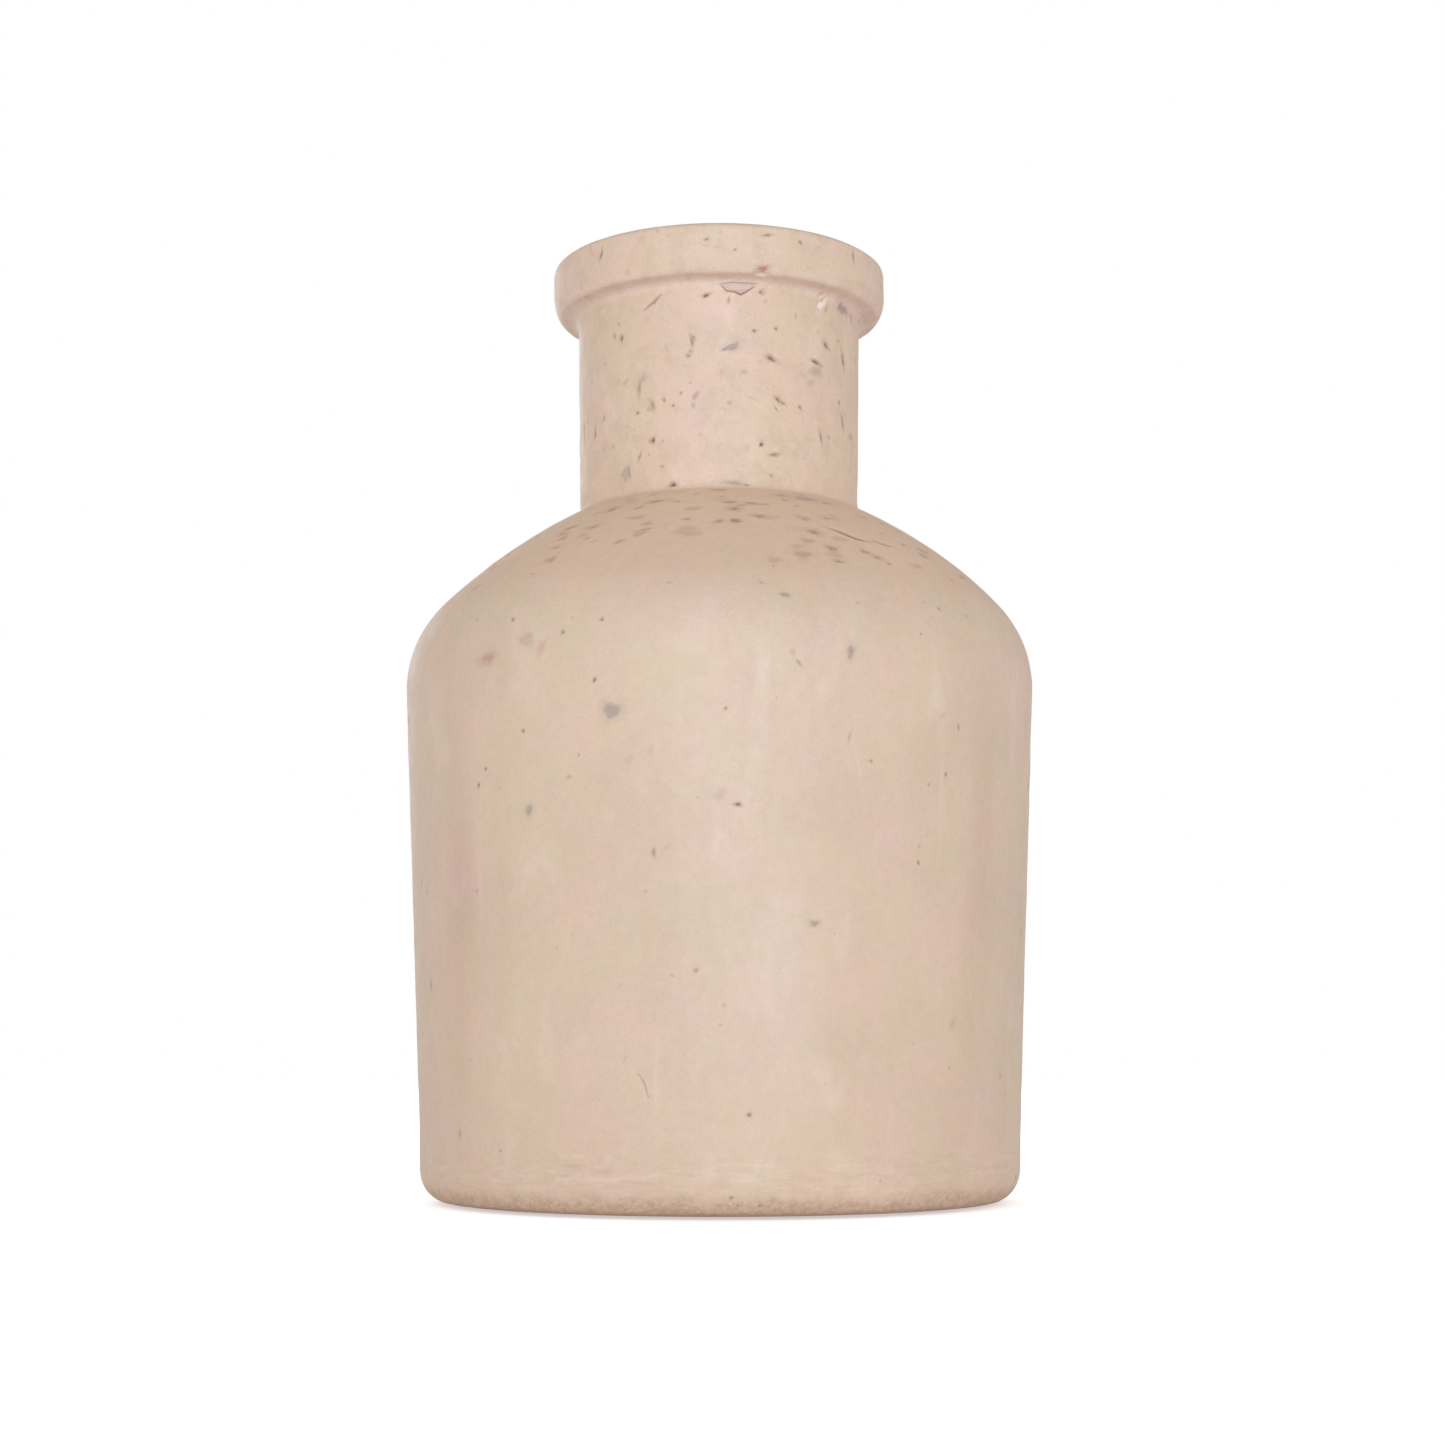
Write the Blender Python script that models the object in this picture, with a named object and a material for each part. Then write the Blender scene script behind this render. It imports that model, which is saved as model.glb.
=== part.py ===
"""Bud vase: one fired stoneware body, open at the mouth, standing on four felt pads.

Metres, +Z up. The origin is on the axis of the vase, on the surface that the pads stand on.
"""

import math

import bmesh
import bpy

MM = 0.001

# Body, outside. Heights are above the surface that the vase stands on.
RIM_HEIGHT = 140.0 * MM
FOOT_HEIGHT = 0.4 * MM
FOOT_ROUND_WIDTH = 3.9 * MM
FOOT_ROUND_HEIGHT = 4.9 * MM
WALL_FOOT_RADIUS = 43.7 * MM
BELLY_RADIUS = 46.7 * MM
BELLY_HEIGHT = 75.0 * MM
SHOULDER_CORNER_RADIUS = 17.0 * MM
SHOULDER_CORNER_SWEEP = math.radians(44.0)
SHOULDER_DOME_RADIUS = 75.0 * MM
NECK_FOOT_RADIUS = 21.1 * MM
NECK_TOP_RADIUS = 21.5 * MM
COLLAR_RADIUS = 25.35 * MM
COLLAR_UNDERSIDE = 132.8 * MM
COLLAR_ROUND_WIDTH = 1.6 * MM
COLLAR_ROUND_HEIGHT = 3.5 * MM
LIP_ROUND = 1.0 * MM

# Body, inside.
WALL_THICKNESS = 4.7 * MM
MOUTH_RADIUS = 16.6 * MM
FLOOR_HEIGHT = 7.0 * MM
FLOOR_CORNER_RADIUS = 6.0 * MM

# Underside: a shallow recess inside the foot ring, which holds the pads.
RECESS_RADIUS = 36.0 * MM
RECESS_HEIGHT = 1.5 * MM
RECESS_SLOPE = 0.8 * MM

# Pads, a glue film's gap below the recess.
PAD_COUNT = 4
PAD_RADIUS = 5.0 * MM
PAD_THICKNESS = 1.2 * MM
PAD_EDGE_ROUND = 0.2 * MM
PAD_RING_RADIUS = 28.0 * MM
PAD_FIRST_ANGLE = math.radians(45.0)

BODY_SEGMENTS = 48
PAD_SEGMENTS = 24
MERGE_DISTANCE = 0.01 * MM

# Colour, roughness.
STONEWARE = ((0.70, 0.55, 0.45, 1.0), 0.62)
FELT = ((0.34, 0.27, 0.21, 1.0), 0.95)


def arc(center, radii, start, end, steps):
    """Points of an elliptical arc in the XZ plane, from the angle start to end, both included."""
    points = []
    for i in range(steps + 1):
        angle = start + (end - start) * i / steps
        x = center[0] + radii[0] * math.cos(angle)
        z = center[1] + radii[1] * math.sin(angle)
        points.append((x, z))
    return points


def shoulder(inset, neck_radius, corner_steps, dome_steps):
    """The shoulder from the belly up to the neck: a tight corner, then a wide dome.

    Both arcs keep their centres when the surface is inset, so the wall has one thickness.
    """
    corner_center = (BELLY_RADIUS - SHOULDER_CORNER_RADIUS, BELLY_HEIGHT)
    reach = SHOULDER_DOME_RADIUS - SHOULDER_CORNER_RADIUS
    dome_center = (
        corner_center[0] - reach * math.cos(SHOULDER_CORNER_SWEEP),
        corner_center[1] - reach * math.sin(SHOULDER_CORNER_SWEEP),
    )
    corner_radius = SHOULDER_CORNER_RADIUS - inset
    dome_radius = SHOULDER_DOME_RADIUS - inset
    end = math.acos((neck_radius - dome_center[0]) / dome_radius)
    corner = arc(corner_center, (corner_radius,) * 2, 0.0, SHOULDER_CORNER_SWEEP, corner_steps)
    dome = arc(dome_center, (dome_radius,) * 2, SHOULDER_CORNER_SWEEP, end, dome_steps)
    return corner + dome[1:]


def outer_profile():
    """The outside, from the middle of the underside up to the flat of the rim."""
    right = math.pi / 2
    foot_center = (WALL_FOOT_RADIUS - FOOT_ROUND_WIDTH, FOOT_HEIGHT + FOOT_ROUND_HEIGHT)
    collar_center = (COLLAR_RADIUS - COLLAR_ROUND_WIDTH, COLLAR_UNDERSIDE + COLLAR_ROUND_HEIGHT)
    lip_center = (COLLAR_RADIUS - LIP_ROUND, RIM_HEIGHT - LIP_ROUND)
    points = [(0.0, RECESS_HEIGHT), (RECESS_RADIUS, RECESS_HEIGHT)]
    points.append((RECESS_RADIUS + RECESS_SLOPE, FOOT_HEIGHT))
    points += arc(foot_center, (FOOT_ROUND_WIDTH, FOOT_ROUND_HEIGHT), -right, 0.0, 6)
    points += shoulder(0.0, NECK_FOOT_RADIUS, 9, 8)
    points.append((NECK_TOP_RADIUS, COLLAR_UNDERSIDE))
    points += arc(collar_center, (COLLAR_ROUND_WIDTH, COLLAR_ROUND_HEIGHT), -right, 0.0, 5)
    points += arc(lip_center, (LIP_ROUND,) * 2, 0.0, right, 4)
    return points


def inner_profile():
    """The inside, from the flat of the rim down to the middle of the floor."""
    right = math.pi / 2
    lip_center = (MOUTH_RADIUS + LIP_ROUND, RIM_HEIGHT - LIP_ROUND)
    wall_foot = WALL_FOOT_RADIUS - WALL_THICKNESS
    corner_center = (wall_foot - FLOOR_CORNER_RADIUS, FLOOR_HEIGHT + FLOOR_CORNER_RADIUS)
    points = arc(lip_center, (LIP_ROUND,) * 2, right, math.pi, 4)
    points += reversed(shoulder(WALL_THICKNESS, MOUTH_RADIUS, 7, 7))
    points += arc(corner_center, (FLOOR_CORNER_RADIUS,) * 2, 0.0, -right, 5)
    points.append((0.0, FLOOR_HEIGHT))
    return points


def material(name, look):
    color, roughness = look
    result = bpy.data.materials.new(name)
    result.use_nodes = True
    shader = result.node_tree.nodes["Principled BSDF"]
    shader.inputs["Base Color"].default_value = color
    shader.inputs["Roughness"].default_value = roughness
    shader.inputs["Metallic"].default_value = 0.0
    result.diffuse_color = color
    return result


def add_object(name, mesh, look):
    mesh.materials.append(look)
    result = bpy.data.objects.new(name, mesh)
    bpy.context.scene.collection.objects.link(result)
    return result


def vase_body(look):
    """One turned shell: the profile runs from the floor over the rim and down to the foot."""
    profile = list(reversed(outer_profile() + inner_profile()))
    mesh = bpy.data.meshes.new("vase_body")
    vertices = [(x, 0.0, z) for x, z in profile]
    edges = [(i, i + 1) for i in range(len(profile) - 1)]
    mesh.from_pydata(vertices, edges, [])
    body = add_object("vase_body", mesh, look)
    screw = body.modifiers.new("turn", "SCREW")
    screw.axis = "Z"
    screw.angle = math.tau
    screw.steps = BODY_SEGMENTS
    screw.render_steps = BODY_SEGMENTS
    screw.use_merge_vertices = True
    screw.merge_threshold = MERGE_DISTANCE
    screw.use_smooth_shade = True
    return body


def pad_mesh(look):
    """A felt disc with a softened edge, standing on the origin."""
    mesh = bpy.data.meshes.new("base_pad")
    shape = bmesh.new()
    bmesh.ops.create_cone(
        shape,
        cap_ends=True,
        segments=PAD_SEGMENTS,
        radius1=PAD_RADIUS,
        radius2=PAD_RADIUS,
        depth=PAD_THICKNESS,
    )
    bmesh.ops.translate(shape, verts=shape.verts, vec=(0.0, 0.0, PAD_THICKNESS / 2))
    rims = [edge for edge in shape.edges if abs(edge.verts[0].co.z - edge.verts[1].co.z) < MERGE_DISTANCE]
    bmesh.ops.bevel(
        shape, geom=rims, offset=PAD_EDGE_ROUND, segments=1, profile=0.5, affect="EDGES"
    )
    shape.to_mesh(mesh)
    shape.free()
    mesh.shade_smooth()
    mesh.set_sharp_from_angle(angle=math.radians(50.0))
    mesh.materials.append(look)
    return mesh


def base_pads(look, parent):
    """Equal pads on a ring, inside the foot."""
    mesh = pad_mesh(look)
    for i in range(PAD_COUNT):
        angle = PAD_FIRST_ANGLE + math.tau * i / PAD_COUNT
        pad = bpy.data.objects.new(f"base_pad_{i + 1}", mesh)
        bpy.context.scene.collection.objects.link(pad)
        pad.parent = parent
        pad.location = (PAD_RING_RADIUS * math.cos(angle), PAD_RING_RADIUS * math.sin(angle), 0.0)
        pad.rotation_euler = (0.0, 0.0, angle)


def main():
    for old in list(bpy.data.objects):
        bpy.data.objects.remove(old, do_unlink=True)
    body = vase_body(material("stoneware", STONEWARE))
    base_pads(material("felt", FELT), body)


main()
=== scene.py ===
"""Looks for the bud vase: one turned, pitted stoneware body on four felt pads."""

import math

import bpy
import numpy as np
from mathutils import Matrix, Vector

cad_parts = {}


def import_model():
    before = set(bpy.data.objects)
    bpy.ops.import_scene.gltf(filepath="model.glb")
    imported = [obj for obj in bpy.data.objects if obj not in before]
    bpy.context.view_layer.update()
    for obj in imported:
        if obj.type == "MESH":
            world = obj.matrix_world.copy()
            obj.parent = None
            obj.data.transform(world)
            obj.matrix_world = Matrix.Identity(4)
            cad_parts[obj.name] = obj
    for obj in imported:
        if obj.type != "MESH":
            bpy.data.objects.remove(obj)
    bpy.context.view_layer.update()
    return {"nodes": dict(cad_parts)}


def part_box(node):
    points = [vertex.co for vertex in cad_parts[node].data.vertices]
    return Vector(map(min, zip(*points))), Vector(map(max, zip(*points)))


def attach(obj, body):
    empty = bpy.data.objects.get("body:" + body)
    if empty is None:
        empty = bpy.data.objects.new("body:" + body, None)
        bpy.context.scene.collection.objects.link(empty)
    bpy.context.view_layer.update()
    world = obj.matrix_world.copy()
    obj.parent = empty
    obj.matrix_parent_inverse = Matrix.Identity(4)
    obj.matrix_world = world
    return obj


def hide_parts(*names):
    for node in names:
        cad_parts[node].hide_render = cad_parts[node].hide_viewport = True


MM = 0.001

# ---------------------------------------------------------------- body, the CAD's own sizes, in mm
RIM_HEIGHT = 140.0
FOOT_HEIGHT = 0.4
FOOT_ROUND = (3.9, 4.9)
WALL_FOOT_RADIUS = 43.7
BELLY_RADIUS = 46.7
BELLY_HEIGHT = 75.0
CORNER_RADIUS = 17.0
CORNER_SWEEP = math.radians(44.0)
DOME_RADIUS = 75.0
NECK_FOOT_RADIUS = 21.1
NECK_TOP_RADIUS = 21.5
COLLAR_RADIUS = 25.35
COLLAR_UNDERSIDE = 132.8
COLLAR_ROUND = (1.6, 3.5)
COLLAR_ROUND_DROP = 0.4
LIP_ROUND = 1.0
WALL_THICKNESS = 4.7
MOUTH_RADIUS = 16.6
FLOOR_HEIGHT = 7.0
FLOOR_CORNER = 6.0
RECESS_RADIUS = 36.0
RECESS_HEIGHT = 1.5
RECESS_SLOPE = 0.8
CREASE_SOFTNESS = 0.7
COLLAR_CREASE_SOFTNESS = 1.9
COLLAR_DROP = (0.25, 0.2)

# ---------------------------------------------------------------- mesh density
COLUMNS = 64
COLUMN_ARC = math.tau / COLUMNS
MAX_LEVEL = 5
FINE = 2**MAX_LEVEL
# Cells on a mark are CELL_SHARE of its width, or of WIDE_MARK where it is wider. On kinds softer
# than SOFT_EDGE they are CELL_SHARE of twice its width.
CELL_SHARE = 0.30
WIDE_MARK = 1.2
SOFT_EDGE = 0.9

# ---------------------------------------------------------------- hand-made unevenness, in mm
SHOULDER_DRIFT = 0.5
SHOULDER_DRIFT_HEIGHT = 95.0
SHOULDER_DRIFT_SPREAD = 11.0
NECK_DRIFT = -0.15
NECK_DRIFT_START = (101.0, 104.0)
WOBBLE = 0.07
WOBBLE_INWARD = 1.2
WOBBLE_START = (2.0, 12.0)
RIPPLE = 0.022
RIPPLE_START = (0.0, 3.0)
FOOT_GRIT = 0.07
FOOT_BAND = 3.1
GRIT_END = (FOOT_BAND - 1.2, FOOT_BAND + 0.4)

# Smooth noise on the shapes: its shortest and longest waves in mm, how many, and their seed.
WOBBLE_WAVES = (45.0, 120.0, 18, 3)
RIPPLE_WAVES = (3.0, 11.0, 40, 4)
GRIT_WAVES = (1.1, 3.0, 60, 5)
FUZZ_WAVES = (0.5, 1.8, 60, 9)

# ---------------------------------------------------------------- camera and light
CAMERA_PLACE = (0.00038, -0.3656, 0.0219)
CAMERA_TILT = math.radians(7.6)
CAMERA_LENS = 61.23
HORIZON_LIGHT = 0.90
ZENITH_LIGHT = 0.50
KEY_COLOR = (0.69, 0.82, 1.0)
KEY_POWER = 4.4
KEY_PLACE = (0.045, -0.9, 0.20)
KEY_SIZE = (0.7, 0.4)
BACK_POWER = 2.4
BACK_PLACE = (-0.3, 0.95, 0.35)
FLOOR_GLOW = (0.16, 0.48)
FLOOR_REACH = 1.6
OVERHEAD = 0.9


# ================================================================ profile

def line(start, end):
    start, end = np.array(start), np.array(end)
    return lambda t: start + (end - start) * t[:, None]


def arc(center, radii, start, end):
    center, radii = np.array(center), np.array(radii)

    def at(t):
        angle = start + (end - start) * t
        return center + radii * np.stack([np.cos(angle), np.sin(angle)], 1)

    return at


def bend(start, corner, end):
    """A soft inside corner: a quadratic curve that leaves and arrives along the corner's sides."""
    start, corner, end = np.array(start), np.array(corner), np.array(end)

    def at(t):
        t = t[:, None]
        return start * (1 - t) ** 2 + corner * 2 * t * (1 - t) + end * t**2

    return at


def shoulder_arcs(inset, neck_radius):
    """Centres, radii and end angle of the shoulder's tight corner and wide dome."""
    corner = (BELLY_RADIUS - CORNER_RADIUS, BELLY_HEIGHT)
    reach = DOME_RADIUS - CORNER_RADIUS
    dome = (
        corner[0] - reach * math.cos(CORNER_SWEEP),
        corner[1] - reach * math.sin(CORNER_SWEEP),
    )
    end = math.acos((neck_radius - dome[0]) / (DOME_RADIUS - inset))
    return corner, CORNER_RADIUS - inset, dome, DOME_RADIUS - inset, end


def vase_path():
    """The whole profile as (name, curve, base rows, least level), from under the foot, up the
    outside, over the rim and down the inside to the middle of the floor."""
    right = math.pi / 2
    corner, corner_r, dome, dome_r, dome_end = shoulder_arcs(0.0, NECK_FOOT_RADIUS)
    soft_end = dome_end - CREASE_SOFTNESS / dome_r
    soft_start = dome[0] + dome_r * math.cos(soft_end), dome[1] + dome_r * math.sin(soft_end)
    neck_foot = (NECK_FOOT_RADIUS, dome[1] + dome_r * math.sin(dome_end))
    neck_start = (NECK_FOOT_RADIUS, neck_foot[1] + CREASE_SOFTNESS)
    collar_inside, collar_outside = (COLLAR_UNDERSIDE - drop for drop in COLLAR_DROP)
    neck_end = (NECK_TOP_RADIUS, collar_inside - COLLAR_CREASE_SOFTNESS)
    collar_foot = (NECK_TOP_RADIUS, collar_inside)
    collar_start = (NECK_TOP_RADIUS + COLLAR_CREASE_SOFTNESS, collar_inside)
    collar_face = COLLAR_UNDERSIDE + COLLAR_ROUND[1] - COLLAR_ROUND_DROP
    collar_center = (COLLAR_RADIUS - COLLAR_ROUND[0], collar_face)
    collar_round = (COLLAR_ROUND[0], collar_face - collar_outside)
    foot_center = (WALL_FOOT_RADIUS - FOOT_ROUND[0], FOOT_HEIGHT + FOOT_ROUND[1])
    lip = (COLLAR_RADIUS - LIP_ROUND, RIM_HEIGHT - LIP_ROUND)
    mouth = (MOUTH_RADIUS + LIP_ROUND, RIM_HEIGHT - LIP_ROUND)
    inner = shoulder_arcs(WALL_THICKNESS, MOUTH_RADIUS)
    inner_top = inner[2][1] + inner[3] * math.sin(inner[4])
    inner_belly = (BELLY_RADIUS - WALL_THICKNESS, BELLY_HEIGHT)
    inner_foot = WALL_FOOT_RADIUS - WALL_THICKNESS
    floor_center = (inner_foot - FLOOR_CORNER, FLOOR_HEIGHT + FLOOR_CORNER)
    ring = RECESS_RADIUS + RECESS_SLOPE
    return [
        ("recess", line((0.0, RECESS_HEIGHT), (RECESS_RADIUS, RECESS_HEIGHT)), 8, 0),
        ("recess_wall", line((RECESS_RADIUS, RECESS_HEIGHT), (ring, FOOT_HEIGHT)), 1, 2),
        ("foot", line((ring, FOOT_HEIGHT), (foot_center[0], FOOT_HEIGHT)), 1, 2),
        ("foot_round", arc(foot_center, FOOT_ROUND, -right, 0.0), 2, 3),
        ("wall", line((WALL_FOOT_RADIUS, foot_center[1]), (BELLY_RADIUS, BELLY_HEIGHT)), 13, 2),
        ("corner", arc(corner, (corner_r,) * 2, 0.0, CORNER_SWEEP), 3, 2),
        ("dome", arc(dome, (dome_r,) * 2, CORNER_SWEEP, soft_end), 6, 2),
        ("neck_crease", bend(soft_start, neck_foot, neck_start), 1, 2),
        ("neck", line(neck_start, neck_end), 14, 1),
        ("collar_crease", bend(neck_end, collar_foot, collar_start), 1, 2),
        ("collar_under", line(collar_start, (collar_center[0], collar_outside)), 1, 2),
        ("collar_round", arc(collar_center, collar_round, -right, 0.0), 2, 2),
        ("collar_face", line((COLLAR_RADIUS, collar_face), (COLLAR_RADIUS, lip[1])), 1, 2),
        ("lip", arc(lip, (LIP_ROUND,) * 2, 0.0, right), 1, 2),
        ("rim", line((lip[0], RIM_HEIGHT), (mouth[0], RIM_HEIGHT)), 2, 2),
        ("mouth", arc(mouth, (LIP_ROUND,) * 2, right, math.pi), 1, 2),
        ("bore", line((MOUTH_RADIUS, mouth[1]), (MOUTH_RADIUS, inner_top)), 12, 1),
        ("inner_dome", arc(inner[2], (inner[3],) * 2, inner[4], CORNER_SWEEP), 5, 1),
        ("inner_corner", arc(inner[0], (inner[1],) * 2, CORNER_SWEEP, 0.0), 2, 1),
        ("inner_wall", line(inner_belly, (inner_foot, floor_center[1])), 12, 1),
        ("inner_foot", arc(floor_center, (FLOOR_CORNER,) * 2, 0.0, -right), 2, 1),
        ("inner_floor", line((floor_center[0], FLOOR_HEIGHT), (0.0, FLOOR_HEIGHT)), 7, 0),
    ]


class Profile:
    """Turns a row number, counted along the path, into a radius, a height and an outward normal."""

    STEP = 1e-3
    TABLE = 64

    def __init__(self, path):
        self.path = path
        self.first_rows = np.cumsum([0] + [rows for _, _, rows, _ in path])
        self.total_rows = int(self.first_rows[-1])
        self.rows = np.linspace(0, self.total_rows, self.total_rows * self.TABLE + 1)
        points = self.points(self.rows)
        steps = np.hypot(*np.diff(points, axis=0).T)
        self.lengths = np.concatenate([[0.0], np.cumsum(steps)])
        self.heights = points[:, 1]

    def piece_of(self, row):
        found = np.searchsorted(self.first_rows, row, side="right") - 1
        return np.clip(found, 0, len(self.path) - 1)

    def points(self, row, piece=None):
        row = np.asarray(row, float)
        piece = self.piece_of(row) if piece is None else piece
        result = np.zeros((len(row), 2))
        for number, (_, curve, rows, _) in enumerate(self.path):
            chosen = piece == number
            if chosen.any():
                result[chosen] = curve((row[chosen] - self.first_rows[number]) / rows)
        return result

    def normals(self, row):
        """Outward normals. At a joint between two pieces the two sides are averaged."""
        below = self.points(np.maximum(row - self.STEP, 0.0))
        above = self.points(np.minimum(row + self.STEP, self.total_rows))
        back = self.points(row) - below
        ahead = above - self.points(row)
        tangent = unit(back) + unit(ahead)
        return unit(np.stack([tangent[:, 1], -tangent[:, 0]], 1))

    def length_at(self, row):
        return np.interp(row, self.rows, self.lengths)

    def row_at_length(self, length):
        return np.interp(length, self.lengths, self.rows)

    def outer_row(self, height):
        """The row on the outside at a height. The collar's flat underside counts as its crease."""
        first = self.first_rows[self.index("foot_round")] * self.TABLE
        last = self.first_rows[self.index("rim")] * self.TABLE
        return np.interp(height, self.heights[first:last], self.rows[first:last])

    def index(self, name):
        return [piece[0] for piece in self.path].index(name)


def unit(vectors):
    size = np.linalg.norm(vectors, axis=1, keepdims=True)
    return vectors / np.maximum(size, 1e-12)


# ================================================================ marks in the clay

# What each kind does: depth in mm, how sharp its edge is, and its share of the four mark colours
# (dark hollow, which is painted shade inside the mark and a stain round it; grey stone; rust; pale
# bare clay).
KINDS = {
    "pit": (0.34, 0.75, (0.95, 0.0, 0.05, 0.0)),
    "dash": (0.22, 0.75, (0.85, 0.0, 0.12, 0.0)),
    "fleck": (0.16, 0.45, (0.42, 0.0, 0.55, 0.0)),
    "stone": (0.03, 0.40, (0.05, 1.0, 0.0, 0.0)),
    "flake": (0.14, 0.35, (0.16, 0.08, 0.06, 0.0)),
    "fissure": (0.30, 0.30, (0.0, 0.46, 0.0, 0.45)),
    "rust": (0.20, 0.55, (0.15, 0.0, 0.85, 0.0)),
    "chip": (0.30, 0.30, (0.0, 0.0, 0.0, 0.9)),
    "smear": (0.02, 0.95, (0.10, 0.46, 0.05, 0.0)),
    "blush": (0.01, 0.95, (0.06, 0.0, 0.32, 0.0)),
    # Pale patches on the clay; some of the placed ones are painted highlights.
    "bloom": (0.0, 1.0, (0.0, 0.0, 0.0, 0.28)),
    # A soft darker tint on the clay; the two placed on the body's sides are painted shade.
    "wash": (0.0, 1.0, (0.05, 0.0, 0.10, 0.0)),
}

# A mark's faint stain outside its outline: how far out it reaches and each kind's share.
HALO_START = 0.6
HALO_REACH = 2.1
HALO_SHARE = {"pit": 0.36, "dash": 0.32, "stone": 0.25, "rust": 0.30, "fleck": 0.12}

# How ragged a mark's outline is: waves round it, and the share each adds.
RAGGED = ((2, 0.12), (3, 0.12), (5, 0.08))
OUTLINE_END = 1.06

# How far from its middle a mark acts: a share of its size, and a margin in mm.
MARK_REACH = 0.72
MARK_MARGIN = 0.25

# Marks narrower than FULL_DEPTH_WIDTH are shallower, and strength deepens a mark only up to
# MAX_DEPTH_STRENGTH. Scattered marks are at least SMALLEST_WIDTH wide.
FULL_DEPTH_WIDTH = 0.6
MAX_DEPTH_STRENGTH = 1.5
SMALLEST_WIDTH = 0.22

# A scratch's width at its ends, as a share of its width in the middle.
SCRATCH_END_WIDTH = 0.35
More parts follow.
